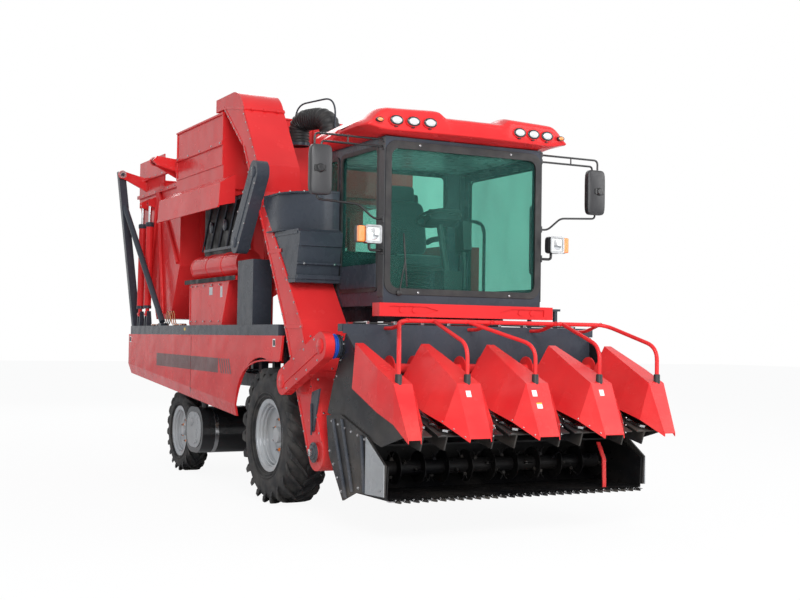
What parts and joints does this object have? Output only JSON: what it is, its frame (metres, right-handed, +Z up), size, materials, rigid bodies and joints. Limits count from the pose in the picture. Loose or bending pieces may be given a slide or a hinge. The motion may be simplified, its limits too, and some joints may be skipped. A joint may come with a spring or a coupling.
{
  "type": "corn combine harvester",
  "caption": "Self-propelled corn harvester: a row header, cab, slanted ear elevator, husking unit, tipping ear bin and a turning spout for chopped stalks, on wheels.",
  "frame": {"origin": "on the ground, below the centre of the machine's bounding box", "axes": "+Z up, +Y towards the rear, so the header faces -Y; +X towards the machine's left side"},
  "size_m": [2.91, 7.4, 3.9202],
  "materials": {
    "red_paint": "gloss coral red enamel",
    "dark_paint": "satin blue grey enamel",
    "black_paint": "satin black enamel",
    "grey_paint": "satin grey enamel",
    "silver_paint": "silver enamel",
    "steel": "bare steel, brushed",
    "chrome_rod": "polished chrome",
    "tyre_rubber": "matt black rubber",
    "pane": "tinted glass",
    "lamp_glass": "clear lamp glass",
    "black_plastic": "matt black",
    "seat_cloth": "dark woven cloth",
    "tank_plastic": "glossy black"
  },
  "bodies": {
    "chassis": {"bin_post": "dark_paint", "cab_base": "dark_paint", "cab_frame": "dark_paint", "cab_roof": "red_paint", "cab_windows": "pane", "chassis_frame": "dark_paint", "cooling_box": "red_paint", "drive_covers": "dark_paint", "driver_seat": "seat_cloth", "ear_elevator": "red_paint", "elevator_hood": "red_paint", "engine_block": "dark_paint", "fan_housing": "dark_paint", "front_axle": "dark_paint", "front_bumper": "red_paint", "fuel_tank": "tank_plastic", "head_lamps": "black_plastic", "header_drive_guard": "red_paint", "husk_box": "red_paint", "husker_apron": "red_paint", "husker_hopper": "red_paint", "husking_bed": "red_paint", "landing": "dark_paint", "mirrors": "black_plastic", "platform": "dark_paint", "rear_axle": "dark_paint", "rear_panel": "red_paint", "roof_lamps": "lamp_glass", "side_panels": "red_paint", "spout_riser": "black_paint", "steering_column": "black_plastic"},
    "front_left_wheel": {"rim_front_left": "silver_paint", "tyre_front_left": "tyre_rubber"},
    "front_right_wheel": {"rim_front_right": "silver_paint", "tyre_front_right": "tyre_rubber"},
    "rear_left_wheel": {"rim_rear_left": "silver_paint", "tyre_rear_left": "tyre_rubber"},
    "rear_right_wheel": {"rim_rear_right": "silver_paint", "tyre_rear_right": "tyre_rubber"},
    "left_knuckle": {"knuckle_left": "dark_paint"},
    "right_knuckle": {"knuckle_right": "dark_paint"},
    "track_rod": {"tie_rod": "dark_paint"},
    "header": {"header_frame": "dark_paint", "header_sides": "dark_paint", "inner_dividers": "red_paint", "outer_dividers": "red_paint", "snapping_decks": "dark_paint", "gathering_chains": "steel", "guard_pipes": "red_paint", "stalk_trough": "black_paint"},
    "auger": {"cross_auger": "red_paint"},
    "rotor": {"stalk_rotor": "steel"},
    "lift_barrels": {"lift_ram_barrels": "dark_paint"},
    "lift_rods": {"lift_ram_rods": "chrome_rod"},
    "bin": {"ear_bin": "red_paint"},
    "tip_barrels": {"bin_ram_barrels": "red_paint"},
    "tip_rods": {"bin_ram_rods": "chrome_rod"},
    "gooseneck": {"spout": "black_paint"},
    "door": {"cab_door": "dark_paint", "door_glass": "pane"}
  },
  "joints": [
    {"name": "front_left_roll", "type": "hinge", "parent": "chassis", "child": "front_left_wheel", "pos_m": [1.01, -0.93, 0.615], "axis": [1, 0, 0], "continuous": true},
    {"name": "front_right_roll", "type": "hinge", "parent": "chassis", "child": "front_right_wheel", "pos_m": [-1.01, -0.93, 0.615], "axis": [1, 0, 0], "continuous": true},
    {"name": "left_steer", "type": "hinge", "parent": "chassis", "child": "left_knuckle", "pos_m": [0.79, 2, 0.49], "axis": [0, 0, 1], "range_deg": [-30, 30]},
    {"name": "right_steer", "type": "hinge", "parent": "chassis", "child": "right_knuckle", "pos_m": [-0.79, 2, 0.49], "axis": [0, 0, 1], "range_deg": [-30, 30]},
    {"name": "track_rod_slide", "type": "slide", "parent": "chassis", "child": "track_rod", "axis": [1, 0, 0], "range_m": [-0.09, 0.09]},
    {"name": "rear_left_roll", "type": "hinge", "parent": "left_knuckle", "child": "rear_left_wheel", "pos_m": [0.965, 2, 0.445], "axis": [1, 0, 0], "continuous": true},
    {"name": "rear_right_roll", "type": "hinge", "parent": "right_knuckle", "child": "rear_right_wheel", "pos_m": [-0.965, 2, 0.445], "axis": [1, 0, 0], "continuous": true},
    {"name": "header_lift", "type": "hinge", "parent": "chassis", "child": "header", "pos_m": [0, -2.43, 1.44], "axis": [-1, 0, 0], "range_deg": [-4, 20]},
    {"name": "auger_turn", "type": "hinge", "parent": "header", "child": "auger", "pos_m": [0, -2.705, 1.27], "axis": [1, 0, 0], "continuous": true},
    {"name": "rotor_turn", "type": "hinge", "parent": "header", "child": "rotor", "pos_m": [0, -2.81, 0.495], "axis": [1, 0, 0], "continuous": true},
    {"name": "lift_barrel_swing", "type": "hinge", "parent": "chassis", "child": "lift_barrels", "pos_m": [0, -1.42, 0.8], "axis": [-1, 0, 0], "range_deg": [-0.6, 3]},
    {"name": "lift_rod_slide", "type": "slide", "parent": "lift_barrels", "child": "lift_rods", "axis": [0, -0.9983, -0.0581], "range_m": [-0.05, 0.24]},
    {"name": "bin_tip", "type": "hinge", "parent": "chassis", "child": "bin", "pos_m": [-1.4, 2.87, 3.46], "axis": [0, -1, 0], "range_deg": [0, 80]},
    {"name": "tip_barrel_swing", "type": "hinge", "parent": "chassis", "child": "tip_barrels", "pos_m": [-1.19, 3.1, 1.76], "axis": [0, 1, 0], "range_deg": [0, 6]},
    {"name": "tip_rod_slide", "type": "slide", "parent": "tip_barrels", "child": "tip_rods", "axis": [0.0076, 0, 1], "range_m": [0, 0.55]},
    {"name": "spout_turn", "type": "hinge", "parent": "chassis", "child": "gooseneck", "pos_m": [-0.33, -0.33, 3], "axis": [0, 0, 1], "range_deg": [-180, 0]},
    {"name": "door_swing", "type": "hinge", "parent": "chassis", "child": "door", "pos_m": [0.828, -1.042, 2.18], "axis": [0, 0, 1], "range_deg": [0, 75]}
  ],
  "couplings": [
    {"joint": "right_steer", "follows": "left_steer", "ratio": 1},
    {"joint": "track_rod_slide", "follows": "left_steer", "m_per_rad": -0.17},
    {"joint": "lift_barrel_swing", "follows": "header_lift", "ratio": 0.142},
    {"joint": "lift_rod_slide", "follows": "header_lift", "m_per_rad": 0.677},
    {"joint": "tip_barrel_swing", "follows": "bin_tip", "ratio": 0.0726},
    {"joint": "tip_rod_slide", "follows": "bin_tip", "m_per_rad": 0.388}
  ]
}
